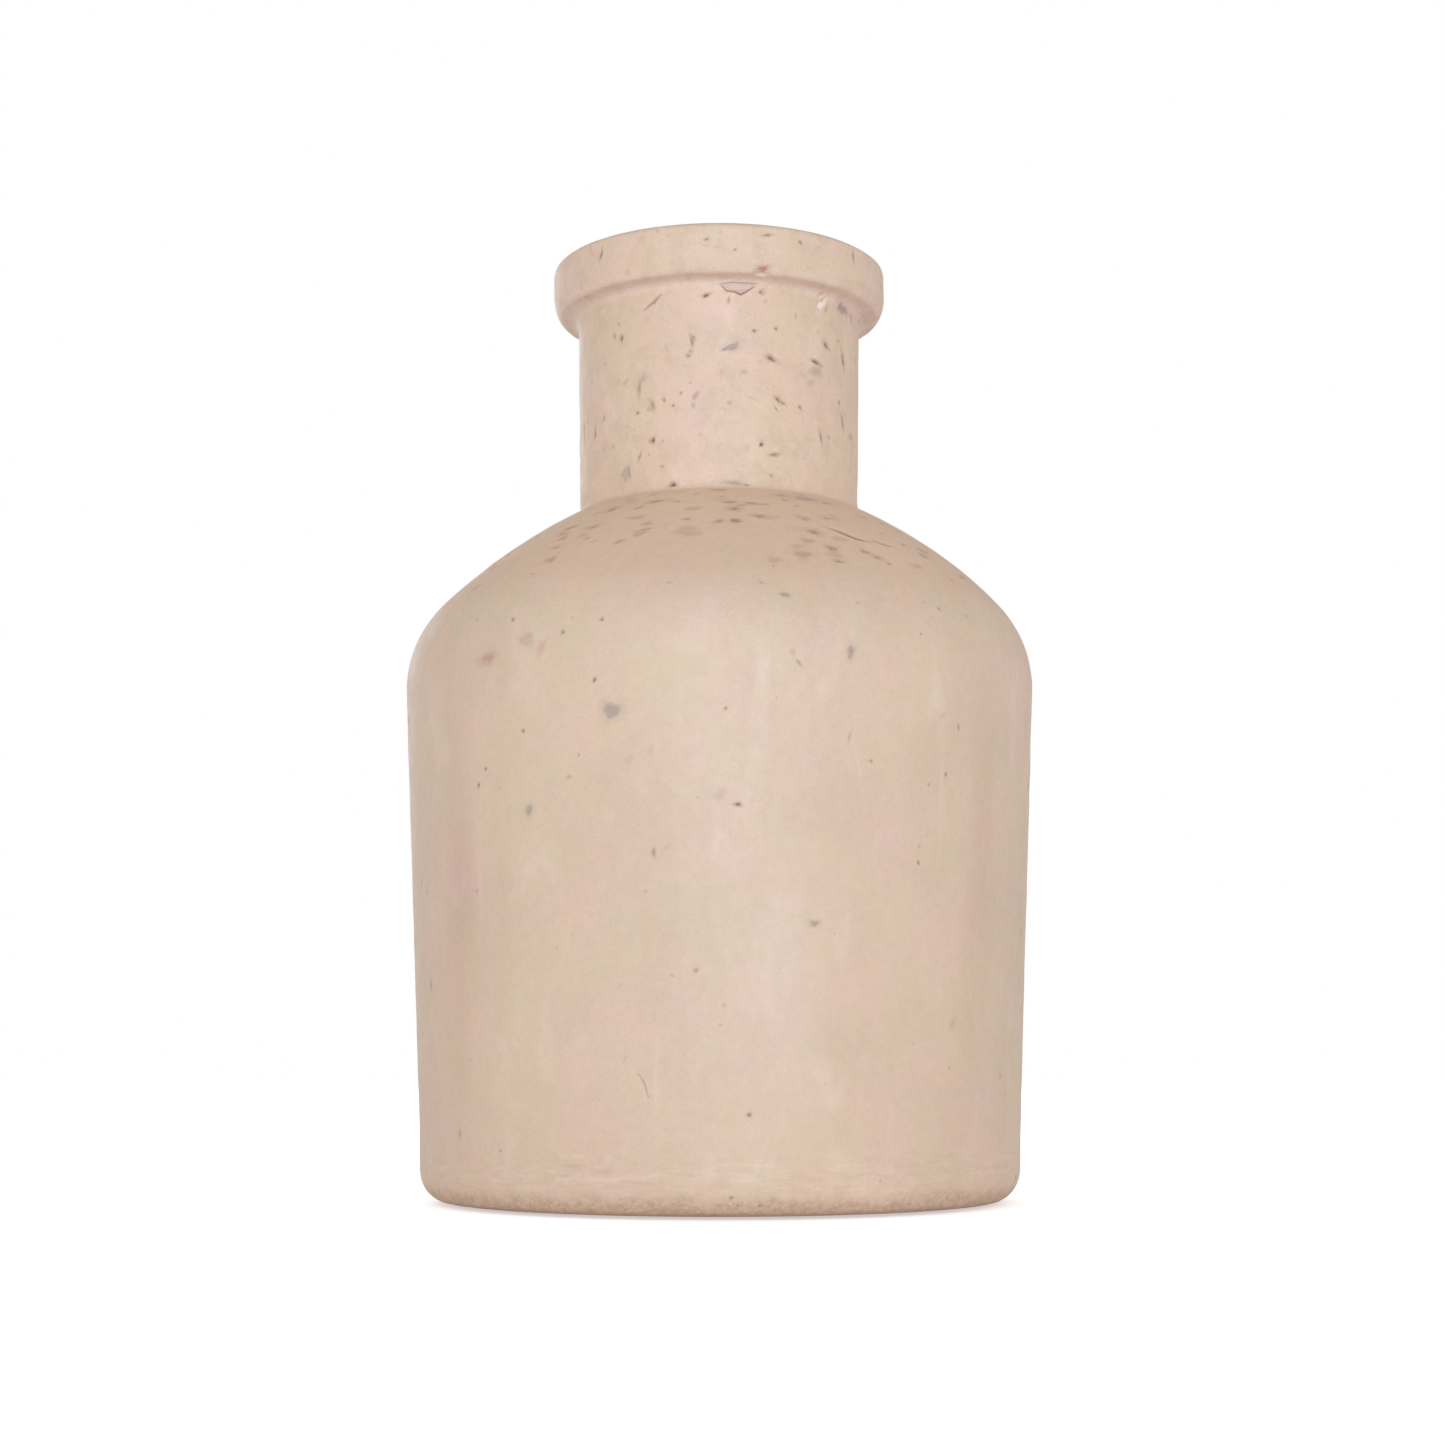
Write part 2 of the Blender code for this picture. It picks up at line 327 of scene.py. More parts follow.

# Marks seen on the front: kind, azimuth in degrees from the front towards +X, height in mm,
# length, width in mm, tilt in degrees from level, strength. They were picked out in the
# photo. A helper program turned most of the places read there into an azimuth and a height.
PLACED = [
    # collar
    ("dash", -43, 137.2, 1.4, 0.50, 70, 1.3),
    ("smear", -26, 138.1, 1.0, 0.8, 0, 1.6),
    ("dash", -4, 137.3, 0.7, 0.40, 0, 0.9),
    ("dash", 16, 138.2, 1.6, 0.42, 8, 1.0),
    ("pit", 28, 137.8, 0.6, 0.5, -20, 0.9),
    ("dash", 52, 137.8, 1.5, 0.50, 100, 1.4),
    ("blush", -64, 137.2, 2.4, 1.0, 90, 1.0),
    ("rust", 15, 133.2, 1.7, 1.3, 0, 1.2),
    ("chip", 15, 132.62, 2.6, 0.9, 0, 1.0),
    # under the collar
    ("fissure", 7.6, 131.5, 5.2, 1.3, -2, 1.0),
    ("pit", 17, 130.9, 0.7, 0.65, 0, 1.4),
    ("dash", -5, 130.2, 1.2, 0.55, 15, 1.4),
    ("dash", -26, 129.8, 2.8, 0.22, 32, 0.6),
    ("pit", -26, 129.7, 0.4, 0.35, 0, 0.9),
    ("chip", 45, 130.8, 2.4, 1.2, 50, 1.1),
    # Painted shadow of the chip above, as a dark dash at its lower right.
    ("dash", 48, 130.3, 1.4, 0.45, 55, 0.6),
    ("smear", 43, 132.0, 1.6, 0.9, 30, 0.9),
    ("stone", 59, 131.2, 3.6, 1.5, 0, 1.0),
    ("dash", 68, 130.6, 1.5, 0.5, 100, 1.2),
    # neck
    ("pit", -42, 125.4, 0.9, 0.60, -60, 1.2),
    ("dash", -46, 126.0, 1.1, 0.45, 95, 0.8),
    ("stone", -10, 123.9, 1.2, 0.8, -60, 0.8),
    ("stone", -11, 122.0, 0.8, 0.6, -50, 0.8),
    ("stone", 5, 122.5, 2.6, 1.25, 12, 0.9),
    ("dash", 2, 122.1, 1.0, 0.30, 14, 0.6),
    ("dash", 21, 121.2, 1.8, 0.85, -20, 1.5),
    # Painted highlight on the lit edge of the dash below it.
    ("bloom", 19, 121.9, 1.8, 0.9, -20, 0.4),
    ("pit", 23, 125.7, 0.55, 0.5, 0, 0.8),
    ("pit", 14, 125.1, 0.6, 0.5, 0, 0.8),
    ("dash", 48, 124.8, 1.4, 0.75, -30, 1.7),
    ("dash", 60, 123.6, 2.2, 0.80, 108, 1.5),
    ("pit", 42, 121.8, 1.9, 0.6, -12, 1.1),
    ("smear", 42, 120.4, 3.6, 2.8, 0, 1.1),
    ("smear", 39, 118.3, 2.4, 1.4, 60, 1.1),
    ("rust", 10, 119.0, 0.8, 0.7, 0, 0.55),
    ("smear", -33, 117.3, 4.4, 0.9, 84, 1.7),
    ("stone", -31, 118.7, 1.1, 0.8, 60, 0.6),
    ("smear", -40, 118.6, 1.2, 0.9, 10, 1.4),
    ("stone", -9, 115.4, 1.5, 0.9, 60, 0.65),
    ("smear", -10, 114.0, 1.3, 0.9, 60, 1.4),
    ("dash", 24, 115.2, 1.3, 0.8, -50, 0.9),
    ("dash", 26, 114.8, 1.2, 0.5, -30, 0.8),
    ("rust", 4, 114.3, 0.7, 0.6, 0, 0.5),
    ("pit", -15, 115.9, 0.5, 0.45, 0, 0.7),
    ("pit", -22, 115.1, 0.6, 0.5, -40, 0.7),
    ("smear", -28, 114.0, 1.5, 1.0, 10, 1.2),
    ("pit", -34, 113.7, 0.6, 0.5, 0, 0.9),
    ("dash", 34, 114.5, 0.8, 0.45, -60, 1.0),
    ("dash", 57, 116.8, 0.8, 0.45, 100, 1.0),
    ("dash", 60, 114.0, 1.9, 0.55, 105, 1.2),
    ("dash", 45, 110.7, 2.1, 0.55, 108, 0.8),
    ("dash", -53, 114.2, 0.9, 0.45, 80, 0.9),
    ("dash", -60, 112.4, 1.7, 0.55, 88, 1.2),
    ("dash", -72, 113.6, 3.0, 0.5, 92, 0.8),
    ("pit", -27, 109.3, 0.85, 0.7, 10, 1.5),
    ("smear", -27, 109.3, 1.7, 1.2, 10, 0.7),
    ("blush", -1, 110.1, 0.8, 0.6, 0, 0.7),
    ("pit", 17, 108.4, 0.65, 0.6, 0, 1.2),
    ("smear", 11, 107.8, 1.8, 1.3, 0, 0.6),
    ("dash", -33, 107.2, 1.6, 0.42, 62, 0.7),
    ("smear", 23, 107.1, 2.6, 0.9, 6, 1.4),
    ("dash", 22, 107.0, 1.7, 0.45, 6, 0.8),
    ("stone", -40, 105.0, 2.5, 2.0, 100, 0.6),
    ("dash", -38, 104.9, 1.7, 0.3, 100, 0.7),
    ("pit", -23, 105.3, 0.5, 0.4, -50, 0.7),
    ("pit", 21, 103.9, 0.5, 0.35, -30, 0.7),
    ("dash", 68, 107.6, 1.2, 0.3, 95, 0.6),
    ("dash", -19, 102.5, 1.5, 0.6, 12, 1.2),
    ("stone", 5, 102.6, 3.2, 0.65, -3, 0.8),
    ("dash", 10, 102.3, 1.0, 0.3, -10, 0.8),
    # upper shoulder
    ("dash", -21, 99.2, 3.3, 1.2, 3, 0.8),
    ("fleck", -25, 98.0, 1.5, 1.2, 6, 0.7),
    ("dash", -35, 98.4, 2.4, 1.7, 12, 0.7),
    ("fleck", -14, 98.8, 1.3, 0.8, -6, 0.7),
    ("flake", -8, 97.2, 3.0, 1.8, 0, 1.0),
    ("dash", 2, 98.4, 2.2, 1.0, 2, 0.8),
    ("fleck", 9, 98.2, 3.7, 0.9, -3, 0.8),
    ("dash", 3, 97.0, 2.0, 1.4, -2, 0.8),
    ("fleck", -9, 95.0, 1.2, 0.9, 5, 0.8),
    ("flake", -8, 92.8, 4.4, 3.6, 0, 0.9),
    ("dash", -1, 94.4, 1.3, 1.0, 30, 0.9),
    ("fleck", 3, 94.6, 2.0, 1.4, -20, 1.1),
    ("dash", 9, 95.6, 2.5, 1.0, -5, 0.8),
    ("fleck", 20, 99.5, 1.3, 1.0, -8, 0.8),
    ("stone", 29, 100.2, 4.0, 2.1, -8, 0.7),
    ("dash", 30, 101.2, 1.7, 0.8, -20, 0.5),
    ("fleck", 22, 98.2, 0.9, 0.7, 0, 0.6),
    ("flake", 21, 95.8, 2.3, 2.5, 0, 1.1),
    ("rust", 21, 95.5, 1.0, 1.1, 0, 0.7),
    ("dash", 21, 93.0, 2.2, 1.4, -8, 0.8),
    ("pit", 31, 96.8, 0.7, 0.6, 0, 0.7),
    ("flake", 10, 87.7, 2.1, 1.9, 0, 1.0),
    ("stone", 16, 88.9, 2.9, 1.6, 0, 0.5),
    ("flake", 16, 88.8, 3.0, 1.8, 0, 0.8),
    ("fleck", 23, 90.2, 2.2, 1.4, -3, 0.9),
    ("flake", 23, 89.3, 2.4, 2.2, 0, 0.9),
    ("dash", 23, 88.0, 1.4, 1.1, -6, 0.8),
    ("fleck", 31, 90.2, 1.8, 1.4, -25, 0.8),
    ("dash", 33, 89.4, 1.7, 1.2, -35, 0.7),
    ("pit", 35, 88.5, 0.6, 0.6, 0, 0.9),
    ("fleck", -43, 95.6, 2.6, 1.2, 22, 0.8),
    ("dash", -34, 94.9, 2.2, 1.2, 16, 0.6),
    ("fleck", -41, 93.5, 1.7, 1.3, 20, 0.7),
    ("dash", -32, 92.6, 1.0, 0.8, 20, 0.6),
    ("flake", -23, 96.0, 3.0, 1.6, 8, 1.0),
    ("flake", -19, 92.8, 2.2, 2.2, 5, 1.1),
    ("fleck", -18, 93.4, 1.7, 0.8, 8, 0.7),
    # lower shoulder and body
    ("pit", -39, 87.2, 0.5, 0.4, -20, 0.9),
    ("pit", -9, 83.8, 0.5, 0.4, 0, 0.5),
    ("pit", 7, 83.8, 0.7, 0.3, -40, 0.7),
    ("stone", 11, 82.0, 1.4, 0.8, -8, 1.0),
    ("stone", -34, 76.9, 2.7, 2.4, 70, 0.42),
    ("blush", -31, 75.4, 3.6, 1.8, 70, 1.1),
    ("blush", -43, 74.9, 4.2, 2.6, 0, 1.9),
    ("smear", -42, 75.2, 3.6, 2.2, 0, 0.8),
    ("stone", -18, 66.4, 2.6, 2.7, 15, 0.85),
    ("stone", 22, 74.4, 1.8, 1.25, 75, 1.0),
    ("stone", 13, 72.6, 1.2, 0.5, -45, 0.8),
    ("smear", 12, 74.0, 1.6, 0.8, -45, 0.7),
    ("pit", -20, 78.8, 0.6, 0.5, 0, 0.8),
    ("pit", -38, 80.0, 0.6, 0.5, 0, 0.9),
    ("pit", -27, 77.4, 0.6, 0.5, 0, 0.8),
    ("pit", -21, 70.6, 0.6, 0.5, 60, 1.0),
    ("pit", -35, 64.5, 0.5, 0.5, 90, 0.9),
    ("pit", -44, 59.9, 0.5, 0.5, 90, 0.9),
    ("pit", -46, 57.8, 0.9, 0.45, 95, 0.9),
    ("stone", -34, 53.8, 1.6, 1.4, 60, 0.8),
    ("pit", 3, 53.8, 0.9, 0.5, -10, 1.0),
    ("smear", 0, 55.0, 2.6, 1.6, 20, 0.7),
    ("pit", 1, 66.4, 0.42, 0.36, 0, 0.9),
    ("smear", -11, 61.2, 1.1, 0.8, 60, 1.1),
    ("rust", -26, 57.9, 0.9, 0.6, 0, 0.5),
    ("pit", -24, 60.7, 0.35, 0.3, 0, 0.7),
    ("pit", 36, 77.8, 0.4, 0.35, 0, 0.7),
    ("smear", 24, 81.4, 1.0, 0.9, 80, 0.9),
    ("dash", 22, 63.1, 1.7, 0.4, 75, 0.5),
    ("pit", 45, 65.6, 0.7, 0.4, 90, 0.9),
    ("pit", 42, 59.0, 0.5, 0.45, 90, 0.9),
    ("pit", 38, 57.4, 0.5, 0.4, 90, 0.7),
    ("pit", 26, 60.0, 0.45, 0.4, 0, 0.8),
    ("blush", 41, 66.9, 1.2, 0.8, 0, 0.9),
    ("stone", 16, 38.4, 1.4, 1.0, -10, 1.1),
    ("pit", -11, 47.6, 1.2, 0.6, 95, 0.55),
    ("rust", -4, 32.2, 0.6, 0.55, 0, 0.8),
    ("smear", -16, 21.0, 1.5, 0.9, 60, 1.0),
    ("pit", 5, 13.6, 0.7, 0.5, 0, 0.8),
    ("dash", -65, 31.0, 1.5, 0.4, 90, 0.9),
    ("dash", -66, 44.0, 1.2, 0.4, 90, 0.5),
    ("pit", -47, 43.4, 0.5, 0.4, 90, 0.6),
    ("pit", 36, 46.8, 0.5, 0.45, 90, 0.9),
    ("pit", 36, 49.0, 0.6, 0.3, 70, 0.5),
    ("dash", 73, 38.5, 1.0, 0.4, 90, 0.8),
    ("smear", 45, 25.5, 2.6, 1.5, 100, 0.7),
    ("smear", 37, 28.6, 1.4, 0.7, 100, 0.7),
    ("dash", -54, 10.6, 1.4, 0.5, 90, 0.7),
    ("pit", -42, 8.6, 0.4, 0.35, 0, 0.7),
    ("pit", 74, 4.0, 1.3, 0.7, 60, 1.2),
    ("pit", 7, 1.9, 0.5, 0.4, 0, 0.8),
    ("pit", 2, 3.0, 0.5, 0.4, 0, 0.8),
    # Painted highlights low on the front, for the key light's sheen.
    ("bloom", 19, 15.0, 5.0, 3.5, 40, 0.5),
    ("bloom", 21, 8.0, 6.0, 4.0, 0, 0.45),
    # Painted highlight: a pale vertical streak where the key light's reflection ends on the right.
    ("bloom", 41, 59.0, 26.0, 1.4, 90, 0.5),
    ("bloom", 42, 73.0, 8.0, 1.2, 100, 0.3),
    # Painted shade: darker, redder vertical bands down both sides of the body.
    ("wash", -52, 42.0, 74.0, 13.0, 90, 1.3),
    ("wash", 53, 46.0, 70.0, 12.0, 90, 1.1),
    # Painted highlight: the key light's reflection edge on the left.
    ("bloom", -46, 45.0, 34.0, 1.6, 90, 0.5),
    # Painted highlight: a broad pale band of sheen down the front.
    ("bloom", 12, 32.0, 60.0, 16.0, 90, 0.28),
    ("bloom", -20, 88.0, 8.0, 1.0, 78, 0.3),
    ("bloom", -2, 80.0, 9.0, 3.0, 70, 0.35),
    ("blush", -26, 6.9, 6.0, 0.55, 2, 0.9),
    ("blush", -28, 5.7, 4.5, 0.5, -4, 0.8),
    ("blush", -14, 4.9, 6.0, 0.5, -2, 0.8),
    ("blush", -20, 6.3, 5.0, 0.45, 5, 0.7),
    ("blush", -5, 6.0, 6.0, 0.5, -3, 0.6),
    ("bloom", -22, 5.2, 8.0, 0.7, 1, 0.7),
    ("bloom", -12, 5.8, 9.0, 0.7, 3, 0.6),
    ("bloom", -25, 8.2, 6.0, 0.8, -3, 0.5),
    ("bloom", 3, 5.2, 8.0, 0.6, 2, 0.5),
    ("bloom", 24, 5.6, 9.0, 0.7, -3, 0.5),
]

# Scratches: points as (azimuth in degrees, height in mm), width in mm, depth in mm, darkness (painted
# shade).
# Their points were found in the same way.
SCRATCHES = [
    ([(25.4, 94.1), (28, 93.5), (31.2, 92.6), (34.6, 92.1)], 0.85, 0.24, 0.85),
    ([(35.2, 92.7), (38, 92.2), (41.4, 91.9)], 0.8, 0.12, 0.45),
    (
        [(1.2, 131.5), (2.8, 130.9), (6.2, 130.75), (8.6, 130.4), (11.0, 130.9), (13.9, 131.6)],
        0.32,
        0.18,
        0.75,
    ),
    ([(-14.0, 19.0), (-12.9, 17.9), (-12.0, 15.6)], 0.20, 0.05, 0.55),
    ([(-31, 128.8), (-26, 130.0), (-23, 130.9)], 0.36, 0.12, 0.55),
]

# Scattered marks: kind, how many go all round, the share of them kept on the front (where the
# placed ones are), lowest and highest height, length range, width over length range, tilt and
# its spread in degrees, strength range.
SCATTERED = [
    ("dash", 90, 0.7, (86.0, 101.5), (0.8, 2.6), (0.40, 0.75), (0, 14), (0.18, 0.50)),
    ("fleck", 80, 0.8, (88.0, 101.5), (0.9, 2.8), (0.45, 0.85), (0, 14), (0.32, 0.68)),
    ("flake", 44, 0.6, (87.0, 101.0), (1.4, 3.4), (0.55, 0.90), (0, 20), (0.4, 0.85)),
    ("pit", 30, 0.4, (80.0, 101.0), (0.4, 0.7), (0.70, 1.00), (0, 90), (0.4, 0.8)),
    ("dash", 46, 0.2, (103.0, 131.5), (0.7, 2.0), (0.25, 0.45), (90, 35), (0.4, 0.9)),
    ("pit", 40, 0.3, (103.0, 131.5), (0.4, 0.7), (0.70, 1.00), (0, 90), (0.4, 0.9)),
    ("stone", 18, 0.0, (103.0, 131.0), (0.7, 2.0), (0.40, 0.80), (45, 60), (0.4, 0.8)),
    ("smear", 26, 0.3, (103.0, 131.0), (0.8, 2.4), (0.40, 0.90), (60, 60), (0.4, 0.9)),
    ("dash", 14, 0.3, (134.5, 139.0), (0.5, 1.3), (0.30, 0.50), (60, 60), (0.4, 0.8)),
    ("blush", 12, 0.4, (133.5, 139.0), (0.8, 2.0), (0.40, 0.90), (45, 60), (0.4, 0.9)),
    ("pit", 50, 0.0, (8.0, 86.0), (0.4, 0.7), (0.70, 1.00), (90, 60), (0.4, 0.9)),
    ("smear", 60, 0.3, (6.0, 86.0), (0.6, 2.2), (0.50, 0.90), (90, 60), (0.3, 0.7)),
    ("stone", 12, 0.0, (20.0, 86.0), (0.9, 2.4), (0.60, 0.90), (60, 60), (0.4, 0.9)),
    ("wash", 26, 0.0, (12.0, 80.0), (18.0, 50.0), (0.10, 0.22), (90, 4), (0.4, 1.0)),
    ("bloom", 20, 0.0, (12.0, 80.0), (12.0, 40.0), (0.04, 0.12), (90, 5), (0.3, 0.7)),
]
SCATTER_SEED = 20
OUTLINE_SEED = 21
FRONT_WINDOW = 62.0


def scattered_marks():
    """Random marks all round, with fewer on the front, where the placed ones already are."""
    rng = np.random.default_rng(SCATTER_SEED)
    marks = []
    for kind, count, front, heights, lengths, shares, (tilt, spread), strengths in SCATTERED:
        for _ in range(count):
            azimuth = rng.uniform(-180.0, 180.0)
            height = rng.uniform(*heights)
            length = rng.uniform(*lengths)
            width = max(length * rng.uniform(*shares), SMALLEST_WIDTH)
            angle = tilt + rng.uniform(-spread, spread)
            strength = rng.uniform(*strengths)
            keep = rng.uniform()
            if abs(azimuth) > FRONT_WINDOW or keep < front:
                marks.append((kind, azimuth, height, length, width, angle, strength))
    return marks


# ================================================================ mesh

def block_any(grid, factor):
    columns, rows = grid.shape
    return grid.reshape(columns // factor, factor, rows // factor, factor).any(axis=(1, 3))


def widen(grid):
    """The true cells and their eight neighbours, round the seam as well."""
    wide = grid | np.roll(grid, 1, 0) | np.roll(grid, -1, 0)
    result = wide.copy()
    result[:, 1:] |= wide[:, :-1]
    result[:, :-1] |= wide[:, 1:]
    return result


def split_grids(need):
    """Which cells of each level are split, with neighbours at most one level apart."""
    grids = [None] * MAX_LEVEL
    for level in range(MAX_LEVEL - 1, -1, -1):
        size = 2 ** (MAX_LEVEL - level)
        grid = block_any(need > level, size)
        if level < MAX_LEVEL - 1:
            grid |= block_any(widen(grids[level + 1]), 2)
        grids[level] = grid
    return grids


def level_need(profile, marks):
    """The level that each smallest cell needs: the piece's own, and more round a mark."""
    columns, rows = COLUMNS * FINE, profile.total_rows * FINE
    need = np.zeros((columns, rows), np.int8)
    for number, (_, _, _, level) in enumerate(profile.path):
        first, last = profile.first_rows[number] * FINE, profile.first_rows[number + 1] * FINE
        need[:, first:last] = level
    for mark in marks:
        low = np.clip(int(mark["row_low"] * FINE), 0, rows - 1)
        high = np.clip(int(mark["row_high"] * FINE) + 1, low + 1, rows)
        start = int(math.floor((mark["azimuth_low"] + 180.0) / 360.0 * columns))
        end = int(math.ceil((mark["azimuth_high"] + 180.0) / 360.0 * columns))
        chosen = np.arange(start, end + 1) % columns
        need[chosen, low:high] = np.maximum(need[chosen, low:high], mark["level"])
    return need


def prepared_marks(profile):
    """Every mark with its place along the profile, its reach and the mesh level it needs."""
    prepared = []
    for kind, azimuth, height, length, width, tilt, strength in PLACED + scattered_marks():
        row = float(profile.outer_row(height))
        radius = float(profile.points(np.array([row]))[0, 0])
        reach = MARK_REACH * max(length, width) + MARK_MARGIN
        center = float(profile.length_at(row))
        soft = KINDS[kind][1] > SOFT_EDGE
        wanted = CELL_SHARE * (width * 2.0 if soft else min(width, WIDE_MARK))
        level = int(np.clip(round(math.log2(COLUMN_ARC * radius / wanted)), 1, MAX_LEVEL))
        spread = math.degrees(reach / radius)
        prepared.append(
            {
                "kind": kind,
                "azimuth": azimuth,
                "length_at": center,
                "half": (length / 2, width / 2),
                "tilt": math.radians(tilt),
                "strength": strength,
                "reach": reach,
                "level": level,
                "azimuth_low": azimuth - spread,
                "azimuth_high": azimuth + spread,
                "row_low": float(profile.row_at_length(center - reach)),
                "row_high": float(profile.row_at_length(center + reach)),
            }
        )
    return prepared


def prepared_scratches(profile):
    """Scratches as lists of points in (azimuth, length along the profile)."""
    prepared = []
    for points, width, depth, darkness in SCRATCHES:
        azimuths = np.array([p[0] for p in points], float)
        rows = profile.outer_row(np.array([p[1] for p in points], float))
        radii = profile.points(rows)[:, 0]
        margin = width * 1.5 + 0.1
        spread = math.degrees(margin / radii.min())
        lengths = profile.length_at(rows)
        prepared.append(
            {
                "azimuths": azimuths,
                "lengths": lengths,
                "radius": float(radii.mean()),
                "width": width,
                "depth": depth,
                "dark": darkness,
                "level": MAX_LEVEL,
                "azimuth_low": azimuths.min() - spread,
                "azimuth_high": azimuths.max() + spread,
                "row_low": float(profile.row_at_length(lengths.min() - margin)),
                "row_high": float(profile.row_at_length(lengths.max() + margin)),
            }
        )
    return prepared


def tree_faces(grids, rows):
    """Faces of the tree as lattice points. A cell beside smaller ones is a fan of triangles."""
    columns, top = COLUMNS * FINE, rows * FINE
    quads, fans = [], []
    for level in range(MAX_LEVEL + 1):
        size = 2 ** (MAX_LEVEL - level)
        shape = (columns // size, top // size)
        parent = np.ones(shape, bool)
        if level:
            parent = grids[level - 1].repeat(2, 0).repeat(2, 1)
        split = grids[level] if level < MAX_LEVEL else np.zeros(shape, bool)
        left = np.roll(split, 1, 0)
        right = np.roll(split, -1, 0)
        below = np.zeros(shape, bool)
        above = np.zeros(shape, bool)
        below[:, 1:] = split[:, :-1]
        above[:, :-1] = split[:, 1:]
        leaf = parent & ~split
        plain = leaf & ~(left | right | below | above)
        i, j = np.nonzero(plain)
        i, j = i * size, j * size
        corners = [(i, j), (i + size, j), (i + size, j + size), (i, j + size)]
        quads.append(np.stack([np.stack(c, 1) for c in corners], 1))
        half = size // 2
        for i, j in zip(*np.nonzero(leaf & ~plain)):
            x, y = i * size, j * size
            loop = [(x, y)]
            loop += [(x + half, y)] * int(below[i, j])
            loop += [(x + size, y)]
            loop += [(x + size, y + half)] * int(right[i, j])
            loop += [(x + size, y + size)]
            loop += [(x + half, y + size)] * int(above[i, j])
            loop += [(x, y + size)]
            loop += [(x, y + half)] * int(left[i, j])
            middle = (x + half, y + half)
            for k, point in enumerate(loop):
                fans.append((middle, point, loop[(k + 1) % len(loop)]))
    return np.concatenate(quads), np.array(fans).reshape(-1, 3, 2)


def lattice_mesh(grids, rows):
    """(lattice point of each vertex, faces as tuples of vertex numbers). Both ends of the
    profile meet the axis in one vertex each."""
    quads, fans = tree_faces(grids, rows)
    columns, top = COLUMNS * FINE, rows * FINE

    def keys(points):
        x, y = points[..., 0] % columns, points[..., 1]
        x = np.where((y == 0) | (y == top), 0, x)
        return x * (top + 1) + y

    quad_keys, fan_keys = keys(quads), keys(fans)
    unique, index = np.unique(
        np.concatenate([quad_keys.ravel(), fan_keys.ravel()]), return_inverse=True
    )
    lattice = np.stack([unique // (top + 1), unique % (top + 1)], 1)
    quad_index = index[: quad_keys.size].reshape(-1, 4)
    fan_index = index[quad_keys.size :].reshape(-1, 3)
    at_axis = (quad_index[:, 0] == quad_index[:, 1]) | (quad_index[:, 2] == quad_index[:, 3])
    faces = [tuple(q) for q in quad_index[~at_axis].tolist()]
    for face in quad_index[at_axis].tolist() + fan_index.tolist():
        loop = tuple(v for k, v in enumerate(face) if v != face[k - 1])
        if len(loop) > 2:
            faces.append(loop)
    return lattice, faces


# ================================================================ surface

def smooth_step(low, high, value):
    t = np.clip((value - low) / (high - low), 0.0, 1.0)
    return t * t * (3 - 2 * t)


def waves(points, shortest, longest, count, seed):
    """Smooth noise: a sum of plane waves with wavelengths between two limits, about -1 to 1."""
    rng = np.random.default_rng(seed)
    total = np.zeros(len(points))
    for _ in range(count):
        direction = unit(rng.normal(size=(1, 3)))[0]
        length = math.exp(rng.uniform(math.log(shortest), math.log(longest)))
        phase = rng.uniform(0, math.tau)
        total += np.cos(points @ direction * math.tau / length + phase)
    return total / math.sqrt(count)


def mark_distance(mark, across, up, phases):
    """The distance from a mark's middle. It is 1 on the mark's ragged outline."""
    cos, sin = math.cos(mark["tilt"]), math.sin(mark["tilt"])
    along = (across * cos + up * sin) / mark["half"][0]
    aside = (up * cos - across * sin) / mark["half"][1]
    angle = np.arctan2(aside, along)
    ragged = 1.0
    for (turns, share), phase in zip(RAGGED, phases):
        ragged = ragged + share * np.sin(turns * angle + phase)
    return np.hypot(along, aside) * ragged


def add_marks(marks, azimuth, length, radius, depth, stains_and_painted_light):
    """Sinks each mark into depth and paints its colours on the vertices it reaches: stain, painted
    shade inside hollows, and painted highlights.
    """
    order = np.argsort(length)
    ordered = length[order]
    rng = np.random.default_rng(OUTLINE_SEED)
    for mark in marks:
        phases = rng.uniform(0, math.tau, len(RAGGED))
        low = np.searchsorted(ordered, mark["length_at"] - mark["reach"])
        high = np.searchsorted(ordered, mark["length_at"] + mark["reach"])
        near = order[low:high]
        turn = (azimuth[near] - mark["azimuth"] + 180.0) % 360.0 - 180.0
        across = np.radians(turn) * radius[near]
        inside = np.abs(across) < mark["reach"]
        near, across = near[inside], across[inside]
        distance = mark_distance(mark, across, length[near] - mark["length_at"], phases)
        sink, softness, colors = KINDS[mark["kind"]]
        shape = 1 - smooth_step(1 - softness, OUTLINE_END, distance)
        width_share = min(1.0, mark["half"][1] * 2 / FULL_DEPTH_WIDTH)
        sunk = sink * width_share * min(mark["strength"], MAX_DEPTH_STRENGTH) * shape
        depth[near] = np.maximum(depth[near], sunk)
        halo = 1 - smooth_step(HALO_START, HALO_REACH, distance)
        cover = np.maximum(shape, halo * HALO_SHARE.get(mark["kind"], 0.0))
        for channel, color in enumerate(colors):
            # Channel 0 is painted shade inside a hollow and a stain round it; channel 3 is pale clay,
            # and on some placed marks a painted highlight.
            painted = np.clip(color * mark["strength"], 0, 1) * cover
            stains_and_painted_light[near, channel] = np.maximum(stains_and_painted_light[near, channel], painted)


